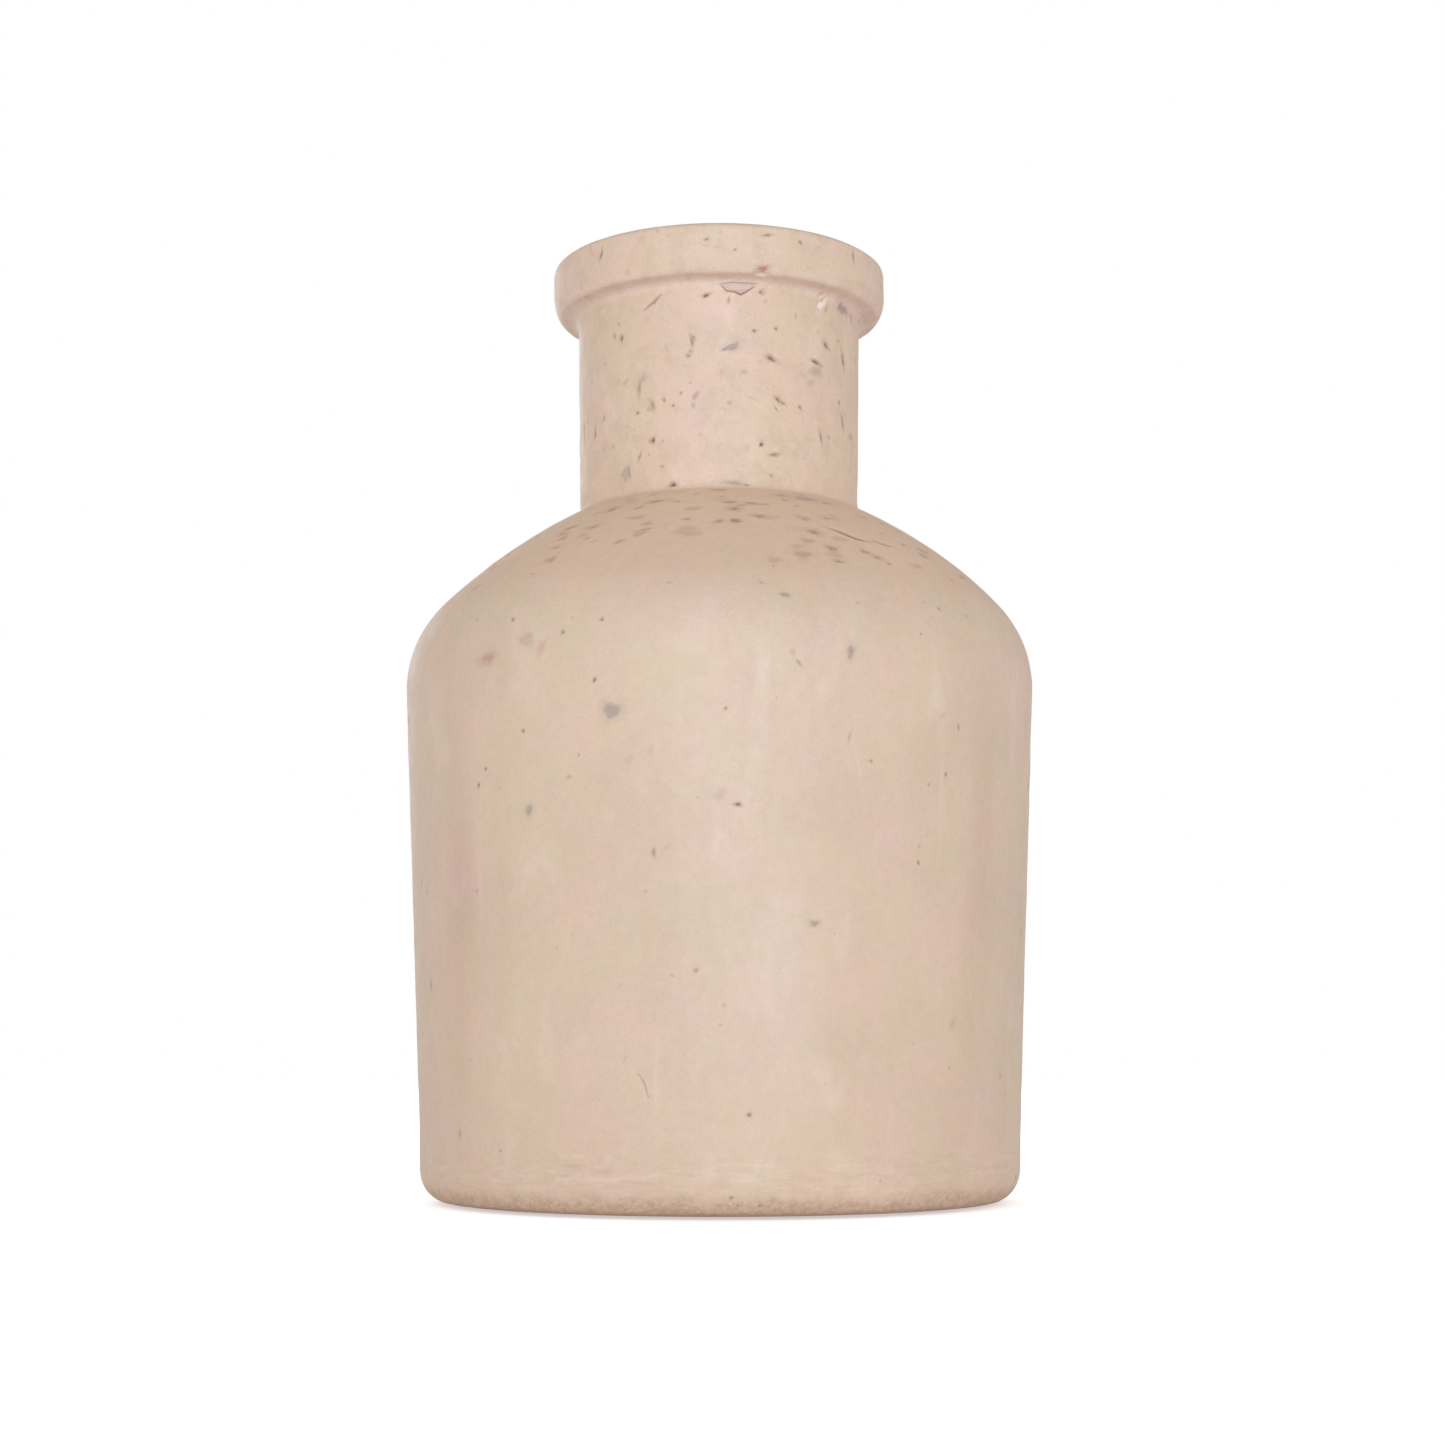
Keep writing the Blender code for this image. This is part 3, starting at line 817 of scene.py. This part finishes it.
def add_scratches(scratches, azimuth, length, depth, stains_and_painted_light):
    """Cuts each scratch along its points, thinner towards its ends."""
    for scratch in scratches:
        scale = math.radians(1.0) * scratch["radius"]
        spread = scratch["width"] * 2
        low, high = scratch["azimuths"].min() - 3, scratch["azimuths"].max() + 3
        near = np.nonzero(
            (azimuth > low)
            & (azimuth < high)
            & (length > scratch["lengths"].min() - spread)
            & (length < scratch["lengths"].max() + spread)
        )[0]
        place = np.stack([azimuth[near] * scale, length[near]], 1)
        points = np.stack([scratch["azimuths"] * scale, scratch["lengths"]], 1)
        best = np.full(len(near), np.inf)
        where = np.zeros(len(near))
        count = len(points) - 1
        for k in range(count):
            side = points[k + 1] - points[k]
            t = np.clip(((place - points[k]) @ side) / (side @ side), 0, 1)
            gap = np.linalg.norm(place - points[k] - t[:, None] * side, axis=1)
            closer = gap < best
            best = np.where(closer, gap, best)
            where = np.where(closer, (k + t) / count, where)
        swell = np.sin(np.pi * np.clip(where, 0.02, 0.98))
        width = scratch["width"] * (SCRATCH_END_WIDTH + (1 - SCRATCH_END_WIDTH) * swell)
        shape = 1 - smooth_step(0.25, 0.75, best / width)
        depth[near] = np.maximum(depth[near], scratch["depth"] * shape)
        # Painted shade in the groove.
        stains_and_painted_light[near, 0] = np.maximum(stains_and_painted_light[near, 0], scratch["dark"] * shape)


def unevenness(base, height, outside):
    """How far the hand-made outside stands off the turned shape, without the marks."""
    wobble = WOBBLE * (waves(base, *WOBBLE_WAVES) - WOBBLE_INWARD) * smooth_step(*WOBBLE_START, height)
    ripple = RIPPLE * waves(base, *RIPPLE_WAVES) * smooth_step(*RIPPLE_START, height)
    grit = FOOT_GRIT * waves(base, *GRIT_WAVES) * (1 - smooth_step(*GRIT_END, height))
    grit *= height > FOOT_HEIGHT + 0.02
    return (wobble + ripple + np.minimum(grit, 0.0)) * outside


def lean(places, outside):
    """Moves the shoulder, and the neck with its bore, a little sideways."""
    bell = np.exp(-(((places[:, 2] - SHOULDER_DRIFT_HEIGHT) / SHOULDER_DRIFT_SPREAD) ** 2))
    on_neck = smooth_step(*NECK_DRIFT_START, places[:, 2])
    places[:, 0] += SHOULDER_DRIFT * bell * (1 - on_neck) * outside
    places[:, 0] += NECK_DRIFT * on_neck


def body_surface(profile, lattice, marks, scratches):
    """Vertex places in metres, and the four mark colours at each vertex: stain, painted shade and
    painted highlights.
    """
    azimuth = lattice[:, 0] * 360.0 / (COLUMNS * FINE) - 180.0
    row = lattice[:, 1] / FINE
    points = profile.points(row)
    normals = profile.normals(row)
    length = profile.length_at(row)
    turn = np.radians(azimuth)
    around = np.stack([np.sin(turn), -np.cos(turn)], 1)

    def place(r, z):
        return np.stack([around[:, 0] * r, around[:, 1] * r, z], 1)

    radius, height = points.T
    outside = row < profile.first_rows[profile.index("rim")]
    depth = np.zeros(len(row))
    stains_and_painted_light = np.zeros((len(row), 4))
    add_marks(marks, azimuth, length, radius, depth, stains_and_painted_light)
    add_scratches(scratches, azimuth, length, depth, stains_and_painted_light)
    stains_and_painted_light *= outside[:, None]
    rise = unevenness(place(radius, height), height, outside) - depth * outside
    places = place(radius + normals[:, 0] * rise, height + normals[:, 1] * rise)
    lean(places, outside)
    return places * MM, stains_and_painted_light


def make_mesh(name, vertices, faces):
    mesh = bpy.data.meshes.new(name)
    mesh.from_pydata(vertices, [], faces)
    mesh.validate()
    mesh.shade_smooth()
    piece = bpy.data.objects.new(name, mesh)
    bpy.context.scene.collection.objects.link(piece)
    return piece


def vase_body(material):
    profile = Profile(vase_path())
    marks = prepared_marks(profile)
    scratches = prepared_scratches(profile)
    grids = split_grids(level_need(profile, marks + scratches))
    lattice, faces = lattice_mesh(grids, profile.total_rows)
    vertices, stains_and_painted_light = body_surface(profile, lattice, marks, scratches)
    piece = make_mesh("vase_shell", vertices, faces)
    layer = piece.data.attributes.new("stains_and_painted_light", "FLOAT_COLOR", "POINT")
    layer.data.foreach_set("color", stains_and_painted_light.astype(np.float32).ravel())
    piece.data.materials.append(material)
    return piece


# ================================================================ materials

class Nodes:
    """Short calls for building a material's node tree."""

    def __init__(self, name):
        self.material = bpy.data.materials.new(name)
        self.material.use_nodes = True
        self.tree = self.material.node_tree
        self.shader = self.tree.nodes["Principled BSDF"]

    def add(self, kind, inputs=None, **settings):
        node = self.tree.nodes.new(kind)
        for key, value in settings.items():
            setattr(node, key, value)
        for key, value in (inputs or {}).items():
            self.feed(node.inputs[key], value)
        return node

    def feed(self, socket, value):
        if isinstance(value, bpy.types.NodeSocket):
            self.tree.links.new(value, socket)
        else:
            socket.default_value = value

    def math(self, operation, a, b=0.0, clamp=False):
        node = self.add("ShaderNodeMath", {0: a, 1: b}, operation=operation, use_clamp=clamp)
        return node.outputs[0]

    def times(self, product, *others):
        for other in others:
            product = self.math("MULTIPLY", product, other)
        return product

    def place(self, scale):
        """Object coordinates in mm, stretched by scale."""
        coordinates = self.add("ShaderNodeTexCoord").outputs["Object"]
        inputs = {"Vector": coordinates, "Scale": [s / MM for s in scale]}
        return self.add("ShaderNodeMapping", inputs).outputs[0]

    def noise(self, place, size, detail=2.0, roughness=0.5, distortion=0.0):
        inputs = {
            "Vector": place,
            "Scale": 1.0 / size,
            "Detail": detail,
            "Roughness": roughness,
            "Distortion": distortion,
        }
        return self.add("ShaderNodeTexNoise", inputs).outputs["Fac"]

    def spread(self, value, low, high, to_low=0.0, to_high=1.0):
        inputs = {"Value": value, 1: low, 2: high, 3: to_low, 4: to_high}
        return self.add("ShaderNodeMapRange", inputs, interpolation_type="SMOOTHSTEP").outputs[0]

    def between(self, value, start, end):
        """Rises from 0 to 1 over the start range and falls back over the end range."""
        return self.times(self.spread(value, *start), self.spread(value, *end, 1.0, 0.0))

    def mix(self, share, a, b, blend="MIX"):
        node = self.add("ShaderNodeMix", data_type="RGBA", blend_type=blend)
        self.feed(node.inputs[0], share)
        self.feed(node.inputs[6], a)
        self.feed(node.inputs[7], b)
        return node.outputs[2]


PINK = (0.650, 0.440, 0.338, 1.0)
BEIGE = (0.608, 0.460, 0.312, 1.0)
TAN = (0.568, 0.400, 0.268, 1.0)
PALE = (0.86, 0.68, 0.58, 1.0)
# Painted shade inside pits, dashes and scratches; round a mark the same colour is a real stain.
HOLLOW_SHADE = (0.25, 0.135, 0.09, 1.0)
STONE = (0.34, 0.25, 0.215, 1.0)
RUST = (0.46, 0.20, 0.14, 1.0)
CAP = (0.664, 0.445, 0.290, 1.0)
HONEY = (0.635, 0.458, 0.296, 1.0)
# Painted light: makes the neck lighter, most at its foot, against the shade that the shoulder casts.
NECK_PAINTED_LIGHT = (1.14, 1.12, 1.15, 1.0)
# The bare foot's clay, darkened also as painted shade where the foot turns under.
BARE_FOOT_AND_SHADE = (0.465, 0.30, 0.205, 1.0)
FOOT_RED = (0.56, 0.325, 0.235, 1.0)
FOOT_CRUMB = (0.69, 0.52, 0.41, 1.0)
# Painted contact shadow: a dark line where the foot stands.
FOOT_CONTACT_SHADOW = (0.44, 0.27, 0.21, 1.0)
LIP_LINE = (0.50, 0.33, 0.22, 1.0)
# Painted light: a pale pink that lifts the shade in the crease under the collar.
CREASE_PAINTED_LIGHT = (0.79, 0.60, 0.53, 1.0)
SPECK = (0.30, 0.18, 0.13, 1.0)
GRAIN_PINK = (0.67, 0.455, 0.345, 1.0)
GRAIN_YELLOW = (0.62, 0.475, 0.33, 1.0)
FELT_DARK = (0.20, 0.155, 0.12, 1.0)
FELT_LIGHT = (0.45, 0.37, 0.29, 1.0)

# Heights between which the clay's tones, its painted light and its painted shade fade in or out, in
# mm.
# LIP_RADII are distances from the axis instead.
CAP_START = (82.0, 88.0)
CAP_END = (101.6, 102.6)
CREASE_START = (131.0, 132.0)
CREASE_END = (132.8, 134.0)
NECK_START = (100.5, 103.5)
NECK_FADE = (104.0, 133.0)
SPECKED_FROM = (84.0, 92.0)
LIP_START = (RIM_HEIGHT - 0.55, RIM_HEIGHT - 0.1)
LIP_RADII = (COLLAR_RADIUS - 1.6, COLLAR_RADIUS - 0.7)
TORN_START = (2.6, 4.2)
TORN_END = (6.0, 11.0)
BARE_END = (FOOT_BAND - 1.5, FOOT_BAND + 0.5)
FOOT_SHADOW_END = (FOOT_HEIGHT + 0.2, FOOT_HEIGHT + 0.8)

# Layers of colour: how the noise is stretched, its size in mm, detail, roughness and distortion,
# the noise values between which the colour comes in, its share, and the colour.
EVEN = (1, 1, 1)
TALL = (1, 1, 0.38)
VERY_TALL = (1, 1, 0.12)
WIDE = (0.35, 0.35, 1.6)
CLAY_LAYERS = [
    (EVEN, (11.0, 6.0, 0.62, 0.4), (0.38, 0.62), 1.0, BEIGE),
    (TALL, (9.0, 3.0, 0.5, 0.2), (0.50, 0.70), 0.30, TAN),
    (VERY_TALL, (8.0, 2.0, 0.45, 0.2), (0.48, 0.64), 0.32, TAN),
    (EVEN, (3.6, 4.0, 0.6, 0.3), (0.42, 0.60), 0.40, HONEY),
    (TALL, (6.0, 3.0, 0.55, 0.6), (0.54, 0.74), 0.22, PALE),
]
NECK_LAYERS = [
    (EVEN, (3.4, 5.0, 0.62, 0.5), (0.48, 0.64), 0.50, TAN),
    (EVEN, (1.8, 3.0, 0.6, 0.8), (0.60, 0.72), 0.36, STONE),
]
TORN_LAYERS = [
    (WIDE, (1.3, 4.0, 0.65, 0.8), (0.52, 0.66), 0.15, PALE),
    (WIDE, (1.3, 4.0, 0.65, 0.8), (0.48, 0.36), 0.26, FOOT_RED),
]
CRUMB_NOISE = (0.6, 2.0, 0.6)
CRUMB_LIMITS = (0.58, 0.68)
FOOT_LAYERS = [
    (EVEN, (0.9, 3.0, 0.65), (0.42, 0.58), 1.0, TAN),
    (EVEN, (1.6, 3.0, 0.6, 0.3), (0.50, 0.64), 0.60, FOOT_RED),
    (EVEN, CRUMB_NOISE, CRUMB_LIMITS, 0.60, FOOT_CRUMB),
    (EVEN, (0.8, 2.0, 0.6, 0.5), (0.66, 0.74), 0.75, SPECK),
]


def grey(n, value):
    return n.add("ShaderNodeCombineColor", {0: value, 1: value, 2: value}).outputs[0]


def dots(n, place, cell, share, low, high):
    """Sparse round dots: a mask that is 1 at the middle of some cells of a pattern."""
    cells = n.add("ShaderNodeTexVoronoi", {"Vector": place, "Scale": 1 / cell})
    pick = n.add("ShaderNodeSeparateColor", {0: cells.outputs["Color"]})
    rare = n.math("LESS_THAN", pick.outputs[0], share)
    size = n.spread(pick.outputs[1], 0.0, 1.0, low, high)
    edge = n.math("SUBTRACT", 1.0, n.math("DIVIDE", cells.outputs["Distance"], size))
    return n.times(n.spread(edge, 0.0, 0.5), rare)


def layered(n, color, layers, mask=1.0):
    """Adds layers of colour, each where its own noise is high, and all inside the mask."""
    for stretch, noise, limits, share, tint in layers:
        cover = n.spread(n.noise(n.place(stretch), *noise), *limits)
        color = n.mix(n.times(cover, mask, share), color, tint)
    return color


def wandering(n, place, height, reach, *noise):
    """The height, moved up and down by noise, so that an edge drawn from it isn't level."""
    return n.math("ADD", height, n.spread(n.noise(place, *noise), 0.2, 0.8, -reach, reach))


def cap_mask(n, place, height):
    """The browner top of the shoulder."""
    edge = wandering(n, place, height, 4.0, 7.0, 4.0, 0.6, 0.3)
    return n.times(n.spread(edge, *CAP_START), n.spread(height, *CAP_END, 1.0, 0.0))


def foot_mask(n, place, height):
    """The bare band round the foot, whose dark colour is partly painted shade where the foot turns
    under.
    """
    return n.spread(wandering(n, place, height, 0.9, 3.0, 3.0, 0.6), *BARE_END, 1.0, 0.0)


def speck_mask(n, place, height):
    """Small dark dots, more of them on the neck and the upper shoulder."""
    return n.times(dots(n, place, 3.4, 0.24, 0.05, 0.11), n.spread(height, *SPECKED_FROM, 0.45, 1.0))


def neck_color(n, color, height):
    """Painted light in the crease under the collar, a pale colour lifting its shade; painted light on
    the neck, strongest at its foot; and the neck's real blotches.
    """
    crease = n.between(height, CREASE_START, CREASE_END)
    # Painted light that lifts the shade in the crease under the collar.
    color = n.mix(n.times(crease, 0.5), color, CREASE_PAINTED_LIGHT)
    neck = n.spread(height, *NECK_START)
    # Painted light, strongest at the neck's foot and fading upwards.
    neck_light = n.times(neck, n.spread(height, *NECK_FADE, 1.0, 0.45))
    color = n.mix(neck_light, color, NECK_PAINTED_LIGHT, "MULTIPLY")
    return layered(n, color, NECK_LAYERS, neck)


def grain_color(n, color, place):
    """Soft light and dark areas, and a fine grain in brightness and in colour."""
    grain = n.spread(n.noise(place, 0.32, 2.0, 0.7), 0.25, 0.75, 0.94, 1.06)
    blots = n.spread(n.noise(place, 1.3, 3.0, 0.6), 0.3, 0.7, 0.965, 1.035)
    areas = n.spread(n.noise(place, 17.0, 2.0), 0.3, 0.7, 0.955, 1.03)
    color = n.mix(1.0, color, grey(n, n.times(grain, blots, areas)), "MULTIPLY")
    tint = n.spread(n.noise(place, 0.45, 2.0, 0.6, 0.2), 0.3, 0.7)
    return n.mix(0.35, color, n.mix(tint, GRAIN_PINK, GRAIN_YELLOW))


def lip_color(n, color, place, height):
    """A thin darker line round the outer edge of the rim."""
    moved = n.spread(n.noise(place, 1.5, 2.0), 0.3, 0.7, -0.25, 0.25)
    high = n.spread(n.math("ADD", height, moved), *LIP_START)
    flat = n.place((1, 1, 0))
    radius = n.add("ShaderNodeVectorMath", {0: flat}, operation="LENGTH").outputs["Value"]
    return n.mix(n.times(high, n.spread(radius, *LIP_RADII), 0.45), color, LIP_LINE)


def foot_color(n, color, height, foot):
    """Torn streaks above the foot, the gritty bare band, its dark colour partly painted shade where it
    turns under, and a painted contact shadow as a dark line where it stands.
    """
    color = layered(n, color, TORN_LAYERS, n.between(height, TORN_START, TORN_END))
    # Bare clay band, its darkness partly painted shade.
    color = n.mix(n.times(foot, 0.85), color, layered(n, BARE_FOOT_AND_SHADE, FOOT_LAYERS))
    # Painted contact shadow along the bottom edge.
    contact_shadow = n.spread(height, *FOOT_SHADOW_END, 1.0, 0.0)
    return n.mix(n.times(contact_shadow, 0.6), color, FOOT_CONTACT_SHADOW)


def stain_and_painted_light_color(n, color, place, pale, stone, rust, hollow):
    """The marks' colours on the vertices: real stain, painted shade in hollows and grooves, and
    painted highlights.
    """
    mottle = n.spread(n.noise(place, 0.5, 2.0, 0.6), 0.3, 0.7, 0.75, 1.0)
    # Pale bare clay, and on some placed marks a painted highlight.
    color = n.mix(pale, color, PALE)
    color = n.mix(n.times(stone, mottle), color, STONE)
    color = n.mix(n.times(rust, mottle), color, RUST)
    # Painted shade in the hollows, and a dark stain round them.
    return n.mix(hollow, color, HOLLOW_SHADE)


def clay_roughness(n, place, masks):
    rough = n.spread(n.noise(place, 3.0, 3.0, 0.6), 0.3, 0.7, 0.50, 0.62)
    for mask, more in masks:
        rough = n.math("ADD", rough, n.times(mask, more), clamp=True)
    return rough


def clay_relief(n, place, foot, specks):
    """Fine grain, crumbs on the foot, and a small hollow in each dot."""
    fine = n.times(n.noise(place, 0.28, 3.0, 0.6), 0.35)
    soft = n.times(n.noise(place, 1.3, 3.0, 0.55), 0.65)
    crumbs = n.spread(n.noise(place, *CRUMB_NOISE), *CRUMB_LIMITS)
    relief = n.math("ADD", n.math("ADD", fine, soft), n.times(foot, crumbs, 0.5))
    relief = n.math("SUBTRACT", relief, n.times(specks, 1.2))
    inputs = {"Strength": 0.6, "Distance": 0.07 * MM, "Height": relief}
    return n.add("ShaderNodeBump", inputs).outputs[0]


def stoneware():
    n = Nodes("stoneware_clay")
    place = n.place(EVEN)
    height = n.add("ShaderNodeSeparateXYZ", {0: place}).outputs["Z"]
    cap = cap_mask(n, place, height)
    foot = foot_mask(n, place, height)
    specks = speck_mask(n, place, height)
    stains_and_painted_light = n.add("ShaderNodeAttribute", attribute_name="stains_and_painted_light")
    hollow, stone, rust = n.add("ShaderNodeSeparateColor", {0: stains_and_painted_light.outputs["Color"]}).outputs
    color = layered(n, PINK, CLAY_LAYERS)
    color = n.mix(n.times(cap, 0.80), color, CAP)
    color = neck_color(n, color, height)
    color = grain_color(n, color, place)
    color = n.mix(n.times(specks, 0.62), color, SPECK)
    color = n.mix(n.times(dots(n, place, 1.5, 0.14, 0.07, 0.14), 0.32), color, SPECK)
    color = lip_color(n, color, place, height)
    color = foot_color(n, color, height, foot)
    color = stain_and_painted_light_color(n, color, place, stains_and_painted_light.outputs["Alpha"], stone, rust, hollow)
    n.feed(n.shader.inputs["Base Color"], color)
    rough = clay_roughness(n, place, ((foot, 0.22), (cap, 0.15), (hollow, 0.3)))
    n.feed(n.shader.inputs["Roughness"], rough)
    n.feed(n.shader.inputs["Normal"], clay_relief(n, place, foot, specks))
    n.shader.inputs["Specular IOR Level"].default_value = 0.6
    return n.material


def felt():
    n = Nodes("pad_felt")
    place = n.place(EVEN)
    fibres = n.noise(place, 0.25, 4.0, 0.7, 1.5)
    tufts = n.noise(place, 1.2, 3.0, 0.6, 0.8)
    mixed = n.math("ADD", n.times(fibres, 0.6), n.times(tufts, 0.4))
    share = n.spread(mixed, 0.35, 0.65)
    n.feed(n.shader.inputs["Base Color"], n.mix(share, FELT_DARK, FELT_LIGHT))
    bump = n.add("ShaderNodeBump", {"Strength": 0.9, "Distance": 0.15 * MM, "Height": mixed})
    n.feed(n.shader.inputs["Normal"], bump.outputs[0])
    n.shader.inputs["Roughness"].default_value = 0.95
    n.shader.inputs["Sheen Weight"].default_value = 0.35
    n.shader.inputs["Sheen Roughness"].default_value = 0.6
    return n.material


def pale_floor():
    n = Nodes("pale_floor")
    soft = n.spread(n.noise(n.place(EVEN), 60.0, 2.0), 0.3, 0.7, 0.90, 0.92)
    n.feed(n.shader.inputs["Base Color"], grey(n, soft))
    n.shader.inputs["Roughness"].default_value = 0.9
    n.shader.inputs["Specular IOR Level"].default_value = 0.1
    seen = n.add("ShaderNodeLightPath").outputs["Is Camera Ray"]
    glow = n.spread(seen, 0.0, 1.0, *FLOOR_GLOW)
    n.shader.inputs["Emission Color"].default_value = (1.0, 1.0, 1.0, 1.0)
    n.feed(n.shader.inputs["Emission Strength"], glow)
    return n.material


# ================================================================ pads

PAD_COLUMNS = 72
PAD_RINGS = 14
PAD_EDGE = 0.28
PAD_EDGE_STEPS = 4
PAD_FUZZ = 0.07
PAD_FUZZ_WIDTH = 1.2
PAD_FUZZ_HEIGHT = 0.3
GLUE_GAP = 0.28


def pad_path(radius, top):
    """The disc's rounded outline as (radius, height), from the middle's first ring underneath,
    round the edge, to the first ring on top."""
    right = math.pi / 2
    flat = radius - PAD_EDGE
    radii = [flat * k / PAD_RINGS for k in range(1, PAD_RINGS)]
    path = [(r, 0.0) for r in radii]
    for center_z, start in ((PAD_EDGE, -right), (top - PAD_EDGE, 0.0)):
        for k in range(PAD_EDGE_STEPS + 1):
            angle = start + right * k / PAD_EDGE_STEPS
            path.append((flat + PAD_EDGE * math.cos(angle), center_z + PAD_EDGE * math.sin(angle)))
    return path + [(r, top) for r in reversed(radii)]


def pad_points(path, top):
    turns = np.arange(PAD_COLUMNS) * math.tau / PAD_COLUMNS
    circle = np.stack([np.cos(turns), np.sin(turns), np.zeros(PAD_COLUMNS)], 1)
    rings = [circle * r + [0.0, 0.0, z] for r, z in path]
    return np.concatenate(rings + [[[0.0, 0.0, 0.0]], [[0.0, 0.0, top]]])


def pad_faces(rings):
    """Squares between the rings, and a fan of triangles round the middle of each side."""
    faces = []
    for ring in range(rings - 1):
        for k in range(PAD_COLUMNS):
            after = (k + 1) % PAD_COLUMNS
            a, b = ring * PAD_COLUMNS, (ring + 1) * PAD_COLUMNS
            faces.append((a + k, a + after, b + after, b + k))
    last = (rings - 1) * PAD_COLUMNS
    under, over = rings * PAD_COLUMNS, rings * PAD_COLUMNS + 1
    for k in range(PAD_COLUMNS):
        after = (k + 1) % PAD_COLUMNS
        faces.append((under, after, k))
        faces.append((over, last + k, last + after))
    return faces


def felt_pad(node, material):
    """A felt disc with a cut, slightly furry edge, up to just under the recess."""
    low, high = (np.array(corner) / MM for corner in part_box(node))
    middle = (low + high) / 2
    radius = (high[0] - low[0]) / 2
    top = high[2] + GLUE_GAP
    path = pad_path(radius, top)
    points = pad_points(path, top)
    place = points + [middle[0], middle[1], 0.0]
    fuzz = PAD_FUZZ * waves(place, *FUZZ_WAVES)
    edge = smooth_step(radius - PAD_FUZZ_WIDTH, radius, np.hypot(points[:, 0], points[:, 1]))
    place -= unit(points * [1, 1, 0]) * (np.abs(fuzz) * edge)[:, None]
    above = smooth_step(0.0, PAD_FUZZ_HEIGHT, points[:, 2])
    below = 1 - smooth_step(top - PAD_FUZZ_HEIGHT, top, points[:, 2])
    place[:, 2] += fuzz * above * below * 0.5
    piece = make_mesh("felt_" + node, place * MM, pad_faces(len(path)))
    piece.data.materials.append(material)
    return piece


# ================================================================ scene

def add_floor():
    corners = [(x * FLOOR_REACH, y * FLOOR_REACH, 0) for x, y in ((-1, -1), (1, -1), (1, 1), (-1, 1))]
    floor = make_mesh("floor", corners, [(0, 1, 2, 3)])
    floor.data.materials.append(pale_floor())


def add_area_light(name, place, size, power, color, aim):
    data = bpy.data.lights.new(name, "AREA")
    data.shape = "RECTANGLE"
    data.size, data.size_y = size
    data.energy = power
    data.color = color
    lamp = bpy.data.objects.new(name, data)
    lamp.location = place
    direction = np.array(aim) - np.array(place)
    lamp.rotation_euler = Vector(direction).to_track_quat("-Z", "Y").to_euler()
    bpy.context.scene.collection.objects.link(lamp)


def add_lights():
    """A pale surround, dimmer overhead, that the camera sees as plain white, a soft key light from
    the front and a weaker one from behind."""
    world = bpy.data.worlds.new("white_room")
    world.use_nodes = True
    nodes, links = world.node_tree.nodes, world.node_tree.links
    direction = nodes.new("ShaderNodeTexCoord")
    split = nodes.new("ShaderNodeSeparateXYZ")
    links.new(direction.outputs["Generated"], split.inputs[0])
    fade = nodes.new("ShaderNodeMapRange")
    links.new(split.outputs["Z"], fade.inputs["Value"])
    fade.inputs["From Min"].default_value = 0.0
    fade.inputs["From Max"].default_value = OVERHEAD
    fade.inputs["To Min"].default_value = HORIZON_LIGHT
    fade.inputs["To Max"].default_value = ZENITH_LIGHT
    seen = nodes.new("ShaderNodeLightPath")
    level = nodes.new("ShaderNodeMix")
    links.new(seen.outputs["Is Camera Ray"], level.inputs[0])
    links.new(fade.outputs[0], level.inputs[2])
    level.inputs[3].default_value = 1.0
    links.new(level.outputs[0], nodes["Background"].inputs["Strength"])
    nodes["Background"].inputs["Color"].default_value = (1.0, 1.0, 1.0, 1.0)
    bpy.context.scene.world = world
    middle = (0.0, 0.0, RIM_HEIGHT / 2 * MM)
    add_area_light("key", KEY_PLACE, KEY_SIZE, KEY_POWER, KEY_COLOR, middle)
    add_area_light("back", BACK_PLACE, KEY_SIZE, BACK_POWER, KEY_COLOR, middle)


def add_camera():
    data = bpy.data.cameras.new("camera")
    data.lens = CAMERA_LENS
    data.sensor_width = 36.0
    camera = bpy.data.objects.new("camera", data)
    camera.location = CAMERA_PLACE
    camera.rotation_euler = (math.pi / 2 + CAMERA_TILT, 0.0, 0.0)
    bpy.context.scene.collection.objects.link(camera)
    bpy.context.scene.camera = camera


def main():
    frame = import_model()
    bpy.context.scene.view_settings.view_transform = "Standard"
    shell = vase_body(stoneware())
    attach(shell, "root")
    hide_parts("vase_body")
    pad_material = felt()
    for node in sorted(name for name in frame["nodes"] if name.startswith("base_pad")):
        pad = felt_pad(node, pad_material)
        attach(pad, "root")
        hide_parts(node)
    add_floor()
    add_lights()
    add_camera()


main()
